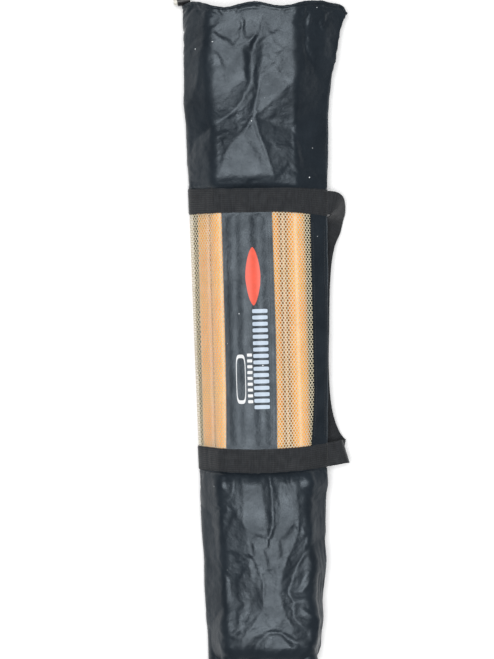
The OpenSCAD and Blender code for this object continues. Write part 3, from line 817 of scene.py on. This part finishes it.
FABRIC, WEBBING, NET = coated_fabric(), webbing(), net_thread()
ORANGE, STEEL = pole_plastic(), steel()
BLACK_PLASTIC = plastic(
    "black_plastic", (0.010, 0.010, 0.011), (0.020, 0.020, 0.022), roughness=0.42, grain=0.5 * MM
)
PALE_PLASTIC = plastic(
    "pale_plastic", (0.62, 0.60, 0.53), (0.76, 0.74, 0.67), roughness=0.4, grain=0.6 * MM
)
CORD = braid("cord_braid", (0.022, 0.022, 0.024))
THREAD = braid("sewing_thread", (0.06, 0.066, 0.075))
INKS = {
    "red": ink("red_ink", (0.90, 0.10, 0.05)),
    "blue": ink("pale_blue_ink", (0.56, 0.66, 0.78)),
    "white": ink("white_ink", (0.82, 0.83, 0.84)),
}


def finish_piece(made, body, slot, *nodes):
    """Attach a piece to its body; slot, a material slot's name, is not used. It stands in for the
    CAD nodes named, which are hidden.
    """
    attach(made, body)
    if nodes:
        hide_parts(*nodes)


# ---- bag pieces
def cloth_uv(y, share):
    y, share = np.broadcast_arrays(y, share)
    return np.stack([share * skin.around(y), y], axis=-1)


def cloth_panel(name, cloth, rows, start, end, columns, *nodes, lift=0.0):
    """A panel between two shares of the way round, each a number or one value for each row."""
    across = np.linspace(0, 1, columns + 1)
    share = np.reshape(start, (-1, 1)) + np.reshape(np.subtract(end, start), (-1, 1)) * across
    y, share = np.broadcast_arrays(rows[:, None], share)
    points, normals = cloth.at(y, share, lift)
    made = shell(name, points, cloth_uv(y, share), CLOTH_T, FABRIC, normals=normals)
    finish_piece(made, "bag", "coated_fabric", *nodes)


# Where the window section's panels end, as x in millimetres at places along the bag.
WINDOW_STATIONS = (-0.19, -0.14, -0.10, 0.0, 0.19)
CENTRE_LEFT_X = (-58.5, -56.8, -56, -55.5, -56)
CENTRE_RIGHT_X = (20.5, 21.5, 22, 23, 22)
SIDE_LEFT_X = (75.5, 80, 82.5, 83, 83.5)


def window_rows(count=120):
    return np.linspace(WINDOW_LOW - 10 * MM, WINDOW_HIGH + 10 * MM, count)


def window_edges(window, y):
    """Shares, along y, of the centre panel's left and right edges and the side panel's edge."""
    tables = (CENTRE_LEFT_X, CENTRE_RIGHT_X, SIDE_LEFT_X)
    places = [np.interp(y, WINDOW_STATIONS, np.array(table) * MM) for table in tables]
    return [window.share_at_x(y, x) for x in places]


SEAM_GAP = 0.0006
FRONT = (SEAM_GAP, LEFT_SEAM - SEAM_GAP)
BACK = (LEFT_SEAM + SEAM_GAP, 1 - SEAM_GAP)
PANEL_LIFT, FOLD_LIFT = 0.5 * MM, 1.3 * MM


def sections(upper, lower, window):
    for place, cloth in (("upper", upper), ("lower", lower)):
        cloth_panel(f"{place}_front_cloth", cloth, cloth.y, *FRONT, 156, f"{place}_front_panel")
        cloth_panel(f"{place}_back_cloth", cloth, cloth.y, *BACK, 110, f"{place}_back_panel")
    y = window_rows()
    left, right, edge = window_edges(window, y)
    cloth_panel("centre_cloth", window, y, right, left, 40, "centre_panel", lift=PANEL_LIFT)
    cloth_panel("side_cloth", window, y, SEAM_GAP, edge, 14, "side_panel", lift=PANEL_LIFT)
    cloth_panel("back_cloth", window, y, *BACK, 90, "back_panel")
    y, left, right, edge = [part[3:-3] for part in (y, left, right, edge)]
    fold = 8 * MM / skin.around(y)
    seam = (LEFT_SEAM - 0.5 * fold, LEFT_SEAM + 0.5 * fold)
    cloth_panel("centre_fold_left", window, y, left - fold, left + 0.0015, 5, lift=FOLD_LIFT)
    cloth_panel("centre_fold_right", window, y, right - 0.0015, right + fold, 5, lift=FOLD_LIFT)
    cloth_panel("side_fold", window, y, edge - 0.8 * fold, edge + 0.001, 5, lift=FOLD_LIFT)
    cloth_panel("left_seam_fold", window, y, *seam, 6, lift=0.4 * MM)


NET_PITCH = (5.1 * MM, 3.9 * MM)
NET_HOLE = (1.45 * MM, 1.78 * MM)


def net(name, cloth, start, end, rows, node):
    """Net with real holes: a hexagon of thread round each hole, rounded down to the hole's rim."""
    pitch_x, pitch_y = NET_PITCH
    hole_x, hole_y = NET_HOLE
    y0, y1 = rows[0], rows[-1]
    width = float(np.mean((end - start) * skin.around(rows)))
    across, along = round(width / pitch_x), round((y1 - y0) / pitch_y)
    tip = (pitch_y**2 + pitch_x**2 / 4) / (2 * pitch_y)
    flank = (pitch_y**2 - pitch_x**2 / 4) / (2 * pitch_y)
    corners = np.array([
        (pitch_x / 2, -flank), (pitch_x / 2, flank), (0, tip),
        (-pitch_x / 2, flank), (-pitch_x / 2, -flank), (0, -tip),
    ])
    outer = np.stack([corners, (corners + np.roll(corners, -1, axis=0)) / 2], axis=1).reshape(-1, 2)
    angle = np.arctan2(outer[:, 1], outer[:, 0])
    rim = np.stack([hole_x * np.cos(angle), hole_y * np.sin(angle)], axis=1)
    centres = np.array([
        ((i + 0.5 + 0.5 * (k % 2)) * pitch_x, (k + 0.5) * pitch_y)
        for k in range(along) for i in range(across - k % 2)
    ])
    count = len(outer)
    layers = ((outer, NET_T / 2), (rim, 0.0), (outer, -NET_T / 2))
    flat = np.concatenate([(centres[:, None] + ring[None]).reshape(-1, 2) for ring, _ in layers])
    height = np.concatenate([np.full(len(centres) * count, lift) for _, lift in layers])
    keys = np.round(np.column_stack([flat, height]) / (0.01 * MM)).astype(np.int64)
    _, first, same = np.unique(keys, axis=0, return_index=True, return_inverse=True)
    same = same.reshape(3, len(centres), count)
    after = np.roll(same, -1, axis=2)
    top = np.stack([same[0], after[0], after[1], same[1]], axis=-1).reshape(-1, 4)
    under = np.stack([same[2], same[1], after[1], after[2]], axis=-1).reshape(-1, 4)
    walls = {}
    for a, b, c, d in zip(*[table.ravel() for table in (same[0], after[0], same[2], after[2])]):
        side = (min(a, b), max(a, b))
        walls[side] = None if side in walls else (a, c, d, b)
    walls = [wall for wall in walls.values() if wall]
    flat, height = flat[first], height[first]
    y = np.clip(y0 + flat[:, 1], y0, y1)
    part = np.clip(flat[:, 0] / (across * pitch_x), 0, 1)
    part = part + 0.10 / across * noise(part * across / 5, y / (24 * MM), 97)
    y = y + 0.25 * MM * noise(part * across / 6, y / (30 * MM), 98)
    share = np.interp(y, rows, start) + part * np.interp(y, rows, end - start)
    points, _ = cloth.at(y, share, height - NET_T / 2)
    faces = np.concatenate([top, under, np.array(walls)])
    made = new_object(name, points, faces, material=NET, angle=80)
    finish_piece(made, "bag", "net", node)


def nets(window):
    y = window_rows()
    left, right, edge = window_edges(window, y)
    net("net_left", window, left - 0.003, np.full(len(y), LEFT_SEAM), y, "mesh_left")
    net("net_right", window, edge - 0.003, right + 0.003, y, "mesh_right")


BAND_ACROSS = (-1, -0.985, -0.94, -0.8, -0.6, -0.4, -0.2, 0, 0.2, 0.4, 0.6, 0.8, 0.94, 0.985, 1)
BAND_COLUMNS = 420


def band(name, y_mid, node):
    half = WEBBING_W / 2
    across = np.array(BAND_ACROSS) * half
    share = (np.arange(BAND_COLUMNS) / BAND_COLUMNS)[None, :]
    y = (y_mid + across)[:, None] + 0 * share
    y = y + 0.35 * MM * noise(share * 60, 0 * y, 101) * np.abs(across[:, None]) / half
    points, normals = skin.at(np.clip(y, y_mid - half, y_mid + half), share)
    x = points[..., 0]
    crimp = 0.5 * MM * noise(x / (11 * MM), y / (60 * MM), 103)
    crimp += 0.25 * MM * noise(x / (4 * MM), y / (50 * MM), 104)
    rolled = 0.45 * MM * (np.abs(across[:, None]) / half) ** 14
    lift = crimp * upward(normals) - rolled + 0.2 * MM
    points = points + normals * lift[..., None]
    points[..., 1] = y + curved_y(y, x)
    points[..., 2] = np.maximum(points[..., 2], 0.0)
    made = shell(name, points, cloth_uv(y, share), WEBBING_T, WEBBING, ring=True)
    finish_piece(made, "bag", "webbing", node)


HEM_R = 2.5 * MM
HEM_IN = 1.2 * MM


def mouth_hem(upper):
    count = 460
    share = np.arange(count) / count
    path, normals = upper.at(np.full(count, upper.y[-1] - HEM_IN), share, -CLOTH_T / 2)
    around = share * skin.around(MOUTH_Y)
    radius = HEM_R + 0.35 * MM * noise(around / (7 * MM), 0 * share, 111)
    radius += 0.2 * MM * noise(around / (3 * MM), 0 * share, 112)
    vertices, faces, uv = tube(path, normals, radius, 12, closed=True)
    made = new_object("rolled_mouth_hem", vertices, faces, uv, FABRIC)
    finish_piece(made, "bag", "coated_fabric", "mouth_hem")


def foot_tape(lower):
    """Folded tape that binds the foot shut."""
    share = (np.arange(288) / 288)[None, :]
    closed_end = FOOT_Y + np.array([1.0, 1.0, 1.2]) * MM
    y = np.append(closed_end, np.linspace(FOOT_Y + 2 * MM, FOOT_Y + 8 * MM, 7))[:, None]
    points, _ = lower.at(y + 0 * share, share, 0.9 * MM)
    z = mid("foot_binding", 2)
    for row, (shrink, back) in enumerate(((0.05, 1.2), (0.55, 1.1), (0.9, 0.6))):
        points[row, :, 2] = z + (points[row, :, 2] - z) * shrink
        points[row, :, 1] -= back * MM
    made = shell("foot_tape", points, cloth_uv(y + 0 * share, share), 0.8 * MM, WEBBING, ring=True)
    finish_piece(made, "bag", "webbing", "foot_binding")


def side_piping(upper, lower, window):
    """The seam allowance that stands along the side seam."""
    for name, cloth, low, high in (
        ("lower", lower, FOOT_Y + 12 * MM, LOWER_END - 1 * MM),
        ("window", window, WINDOW_LOW + 1 * MM, WINDOW_HIGH - 1 * MM),
        ("upper", upper, UPPER_START + 1 * MM, MOUTH_Y - 3 * MM),
    ):
        y = np.arange(low, high, 4 * MM)
        path, normals = cloth.at(y, np.zeros(len(y)), 0.2 * MM)
        path[:, 0] += 0.4 * MM * noise(y / (14 * MM), 0 * y, 121)
        vertices, faces, uv = tube(path, normals, 1.1 * MM, 8)
        made = new_object(f"side_piping_{name}", vertices, faces, uv, FABRIC)
        finish_piece(made, "bag", "coated_fabric")


STITCH, STITCH_GAP, THREAD_R = 2.6 * MM, 1.3 * MM, 0.32 * MM


def stitches(name, points, normals, body="bag"):
    """A row of sewn stitches, each its own little spindle of thread, along a line of points."""
    steps = distances(points)
    starts = np.arange(STITCH_GAP, steps[-1] - STITCH, STITCH + STITCH_GAP)

    def read(table, place):
        return np.stack([np.interp(place, steps, table[:, k]) for k in range(3)], axis=-1)

    share, fat = np.array([(0.0, 0.35), (0.2, 0.95), (0.8, 0.95), (1.0, 0.35)]).T
    sunk = THREAD_R * np.array([0.54, 0.12, 0.12, 0.54])
    vertices, faces = [], []
    for start in starts:
        place = start + share * STITCH
        path, up = read(points, place), read(normals, place)
        path = path - up * sunk[:, None]
        tube_vertices, tube_faces, _ = tube(path, up, THREAD_R * fat, 5)
        first = len(vertices) * len(tube_vertices)
        vertices.append(tube_vertices)
        faces += [[first + k for k in face] for face in tube_faces]
    made = new_object(name, np.concatenate(vertices), faces, material=THREAD)
    finish_piece(made, body, "coated_fabric")


def sewing(upper, lower, window):
    y = window_rows(240)[14:-14]
    left, right, edge = window_edges(window, y)
    around = skin.around(y)
    on_fold, on_cloth = FOLD_LIFT + 0.15 * MM, PANEL_LIFT + 0.15 * MM
    for name, share, lift in (
        ("centre_left_outer", left - 1.6 * MM / around, on_fold),
        ("centre_left_inner", left - 6.4 * MM / around, on_fold),
        ("centre_right_outer", right + 1.6 * MM / around, on_fold),
        ("centre_right_inner", right + 6.4 * MM / around, on_fold),
        ("side_window", edge - 3 * MM / around, on_fold),
        ("side_seam", 7 * MM / around, on_cloth),
    ):
        points, normals = window.at(y, share, lift)
        stitches(f"stitches_{name}", points, normals)
    for name, y_mid in (("lower", LOWER_BAND_Y), ("upper", UPPER_BAND_Y)):
        for side in (-1, 1):
            share = np.linspace(0.01, LEFT_SEAM, 700)
            y = np.full(len(share), y_mid + side * (WEBBING_W / 2 - 3.2 * MM))
            points, normals = skin.at(y, share)
            points[:, 1] += curved_y(y, points[:, 0])
            raised_points = points + normals * 0.55 * MM
            edge_name = "mouth" if side > 0 else "foot"
            stitches(f"stitches_band_{name}_{edge_name}", raised_points, normals)
    share = np.linspace(0.01, 0.99, 900)
    points, normals = upper.at(np.full(len(share), MOUTH_Y - 7.5 * MM), share, 0.2 * MM)
    stitches("stitches_mouth", points, normals)


def printed(name, window, x, y, half_x, half_y, colour, power=0.3, hollow=0.0):
    """A plain printed shape on the centre panel, sized in millimetres: a rounded block, an oval or
    a lozenge, by its power. Hollow is the share of it left unprinted in the middle."""
    turn = np.arange(48) * TAU / 48
    sides = [(half_x, np.cos(turn)), (half_y, np.sin(turn))]
    outline = np.stack([half * np.sign(s) * np.abs(s) ** power for half, s in sides], axis=1) * MM
    rings = np.linspace(max(hollow, 0.002), 1, 4 if hollow else 8)
    flat = np.array([x, y]) * MM + rings[::-1, None, None] * outline[None]
    y = flat[..., 1]
    share = window.share_at_x(y, flat[..., 0])
    points, normals = window.at(y, share, PANEL_LIFT + 0.12 * MM)
    uv = cloth_uv(y, share)
    made = shell(name, points, uv, 0.1 * MM, INKS[colour], ring=True, normals=normals)
    finish_piece(made, "bag", "coated_fabric")


def plain_print(window):
    """Generic shapes where the bag is printed."""
    printed("print_lozenge", window, -10, 86, 12, 46, "red", power=1.25)
    for k in range(16):
        printed(f"print_bar_{k + 1}", window, -0.5, 31 - 10.1 * k, 12.2, 3.1, "blue")
    for k in range(9):
        printed(f"print_dash_{k + 1}", window, -18.5, -38 - 9.2 * k, 4.0, 2.4, "white")
    printed("print_ring", window, -32.8, -76, 7.6, 39, "white", power=0.45, hollow=0.86)


# ---- carry strap
# Each row: millimetres out from the side seam, along the bag and up from the seam, and the way the
# ribbon's width points.
BAND_IN = 206
STRAP_ROWS = (
    ((-3.2, BAND_IN, 0), (0, 1, 0)), ((7, BAND_IN - 0.5, -1), (0.1, 1, 0)),
    ((14, BAND_IN - 5, -7), (0.45, 0.85, -0.2)), ((14, BAND_IN - 18, -16), (0.75, 0.4, -0.55)),
    ((4, BAND_IN - 37, -21), (0.95, 0, -0.3)), ((-8, BAND_IN - 64, -21), (0.97, 0, 0.2)),
    ((-15, 85, -16), (0.88, 0, 0.46)), ((-17.5, 0, -15), (0.86, 0, 0.5)),
    ((-16.5, -85, -15.5), (0.86, 0, 0.48)), ((-11, 66 - BAND_IN, -19), (0.92, 0, 0.35)),
    ((-1, 32 - BAND_IN, -25), (0.97, 0.2, 0.05)), ((12, 12 - BAND_IN, -27), (0.6, 0.8, -0.05)),
    ((24, 4 - BAND_IN, -20), (-0.1, 1, 0)), ((27, 4 - BAND_IN, -9), (-0.28, 0.96, 0)),
    ((22, 4 - BAND_IN, -1.2), (-0.25, 0.96, 0)), ((11, 2 - BAND_IN, 0), (-0.1, 1, 0)),
    ((-3.2, -BAND_IN, 0), (0, 1, 0)),
)


def splined(rows, steps):
    """Smooth curve through rows of numbers."""
    rows = np.array(rows, float)
    padded = np.concatenate([rows[:1], rows, rows[-1:]])
    t = (np.arange(steps) / steps)[:, None]
    parts = []
    for a, b, c, d in zip(padded, padded[1:], padded[2:], padded[3:]):
        second, third = 2 * a - 5 * b + 4 * c - d, 3 * b - a - 3 * c + d
        parts.append(0.5 * (2 * b + (c - a) * t + second * t**2 + third * t**3))
    return np.concatenate([*parts, rows[-1:]])


STRAP_GAP = 1.7 * MM
STRAP_ACROSS = (-1, -0.985, -0.94, -0.75, -0.5, -0.25, 0, 0.25, 0.5, 0.75, 0.94, 0.985, 1)
STEPS_PER_ROW = 14


def strap():
    offset = splined([row[0] for row in STRAP_ROWS], STEPS_PER_ROW) * MM
    width = splined([row[1] for row in STRAP_ROWS], STEPS_PER_ROW)
    out, y, up_from_seam = offset.T
    seam, _ = skin.at(y, np.zeros(len(y)))
    pulled = y + curved_y(y, seam[:, 0])
    centre = np.stack([seam[:, 0] + STRAP_GAP + out, pulled, seam[:, 2] + up_from_seam], axis=1)
    along = np.gradient(centre, axis=0)
    along[0], along[-1] = (1, 0, 0), (-1, 0, 0)
    along = unit(along)
    width = unit(width - np.sum(width * along, axis=1, keepdims=True) * along)
    up = np.cross(along, width)
    across = np.array(STRAP_ACROSS)
    gone = distances(centre)
    loose = smooth(np.minimum(gone, gone[-1] - gone) / (30 * MM))[:, None]
    cup = 0.9 * MM * loose * noise(gone[:, None] / (38 * MM), across[None] * 1.3, 131)
    lift = WEBBING_T / 2 - 0.35 * MM * np.abs(across[None]) ** 14 + cup
    sideways = across[None, :, None] * (WEBBING_W / 2 - 0.3 * MM) * width[:, None]
    points = centre[:, None] + sideways + lift[..., None] * up[:, None]
    normals = np.broadcast_to(up[:, None], points.shape)
    uv = np.stack(np.broadcast_arrays(gone[:, None], across[None] * WEBBING_W / 2), axis=-1)
    flipped = [table[:, ::-1] for table in (points, uv, normals)]
    made = shell("strap_webbing", *flipped[:2], WEBBING_T, WEBBING, normals=flipped[2])
    finish_piece(made, "strap", "webbing", "carry_strap")
    for name, place in (("near", 3 * MM), ("far", 7 * MM)):
        for end, rows in (("mouth", gone), ("foot", gone[-1] - gone)):
            row = int(np.argmin(np.abs(rows - place)))
            line, above = points[row, 1:-1], normals[row, 1:-1]
            stitches(f"stitches_strap_{end}_{name}", line, above, body="strap")


# ---- drawcord
CORD_R = 1.38 * MM
CORD_STACK = 1.65 * MM  # how far each run's middle lies above or below the tail's axis


def joint_axis(name):
    joint = [j for j in frame["joints"] if j["name"] == name][0]
    return np.array(joint["axis"], float)


def drawcord(upper):
    """Both runs of the cord, from the hem's left corner through the lock to the cord's end."""
    way = joint_axis("lock_slide")
    press = joint_axis("button_press")
    above = np.cross(press, way)
    above *= np.sign(above[2])
    node = NODES["cord_end"]
    corners = np.array([node.matrix_world @ vertex.co for vertex in node.data.vertices])
    spans = [(axis, corners @ axis) for axis in (way, press, above)]
    end = sum(axis * (reach.min() + reach.max()) / 2 for axis, reach in spans)
    left_side = np.linspace(0.4, 0.6, 600)
    edge_row, _ = upper.at(np.full(600, upper.y[-1] - HEM_IN), left_side, -CLOTH_T / 2)
    nearest = np.argmin(np.linalg.norm(np.cross(edge_row - end, way), axis=1))
    start = edge_row[nearest]
    far = float(np.dot(end - start, way))
    origin = end - way * far

    def on_tail(gone, up):
        return origin + way * gone + above * up

    straight_from = 5 * MM
    bent = [
        start - way * 4 * MM, start - way * 1 * MM,
        (start + on_tail(straight_from, CORD_STACK)) / 2,
    ]
    out = [on_tail(gone, CORD_STACK) for gone in np.linspace(straight_from, far, 30)]
    turn = [
        on_tail(far + CORD_STACK * math.sin(angle), CORD_STACK * math.cos(angle))
        for angle in np.linspace(0.3, math.pi - 0.3, 6)
    ]
    back = [on_tail(gone, -CORD_STACK) for gone in np.linspace(far, straight_from, 30)]
    under = [
        (start + on_tail(straight_from, -CORD_STACK)) / 2 - above * 1 * MM,
        start - way * 1.5 * MM - above * 2.6 * MM, start - way * 5 * MM - above * 3 * MM,
    ]
    path = splined([*bent, *out, *turn, *back, *under], 3)
    vertices, faces, uv = tube(path, press, CORD_R, 14)
    made = new_object("drawcord_loop", vertices, faces, uv, CORD, angle=80)
    finish_piece(made, "bag", "cord", "drawcord")


# ---- pieces carried over from the CAD
def carried(node, material, bevel=0.0):
    """Give a CAD piece its material, and soften its edges by the bevel."""
    made = NODES[node]
    made.data.materials.clear()
    made.data.materials.append(material)
    if bevel:
        round_off = made.modifiers.new("round_off", "BEVEL")
        round_off.width = bevel
        round_off.segments = 2
        round_off.limit_method = "ANGLE"
        round_off.angle_limit = math.radians(40)


def hard_pieces():
    for n in POLES:
        carried(f"pole_{n}_tube", ORANGE)
        carried(f"pole_{n}_end_cap", BLACK_PLASTIC)
        carried(f"pole_{n}_spike_socket", BLACK_PLASTIC)
        carried(f"pole_{n}_spike", STEEL)
    carried("lock_barrel", BLACK_PLASTIC, 0.3 * MM)
    carried("lock_plunger", PALE_PLASTIC, 0.25 * MM)
    carried("lock_spring", STEEL)
    carried("cord_end", BLACK_PLASTIC, 0.3 * MM)


# ---- studio
FLOOR_HALF = 30.0
SUN_STRENGTH, SUN_SPREAD = 3.0, math.radians(34)
SKY_STRENGTH = 0.20
CAMERA_PLACE = (-21.4 * MM, 2.4 * MM, 5.834)
CAMERA_ROLL = -0.0262


def studio():
    """A white floor, a large soft light overhead and a camera that looks straight down."""
    scene = bpy.context.scene
    scene.view_settings.view_transform = "Standard"
    paper = Shader(
        "paper", (0.92, 0.92, 0.92), 0.8,
        Emission_Color=(1, 1, 1, 1), Emission_Strength=0.12, Specular_IOR_Level=0.1,
    )
    corners = [(x * FLOOR_HALF, y * FLOOR_HALF, 0) for x, y in ((-1, -1), (1, -1), (1, 1), (-1, 1))]
    floor = new_object("floor", corners, [(0, 1, 2, 3)], material=paper.material)
    floor.location.z = -0.3 * MM

    sun = bpy.data.lights.new("overhead_softbox", "SUN")
    sun.energy = SUN_STRENGTH
    sun.angle = SUN_SPREAD
    lamp = bpy.data.objects.new("overhead_softbox", sun)
    lamp.rotation_euler = (0, math.radians(-2), 0)
    scene.collection.objects.link(lamp)

    world = bpy.data.worlds.new("studio")
    world.use_nodes = True
    sky = world.node_tree.nodes["Background"]
    sky.inputs["Color"].default_value = (0.98, 0.99, 1.0, 1)
    sky.inputs["Strength"].default_value = SKY_STRENGTH
    scene.world = world

    camera = bpy.data.cameras.new("overhead_camera")
    camera.lens = 200
    camera.sensor_width = 36
    view = bpy.data.objects.new("overhead_camera", camera)
    view.location = CAMERA_PLACE
    view.rotation_euler = (0, 0, CAMERA_ROLL)
    camera.clip_end = 100
    scene.collection.objects.link(view)
    scene.camera = view


def main():
    upper, lower, window = upper_cloth(), lower_cloth(), window_cloth()
    sections(upper, lower, window)
    nets(window)
    band("upper_band_webbing", UPPER_BAND_Y, "webbing_band_upper")
    band("lower_band_webbing", LOWER_BAND_Y, "webbing_band_lower")
    mouth_hem(upper)
    foot_tape(lower)
    side_piping(upper, lower, window)
    sewing(upper, lower, window)
    plain_print(window)
    strap()
    drawcord(upper)
    hard_pieces()
    studio()


main()
bpy.context.view_layer.update()
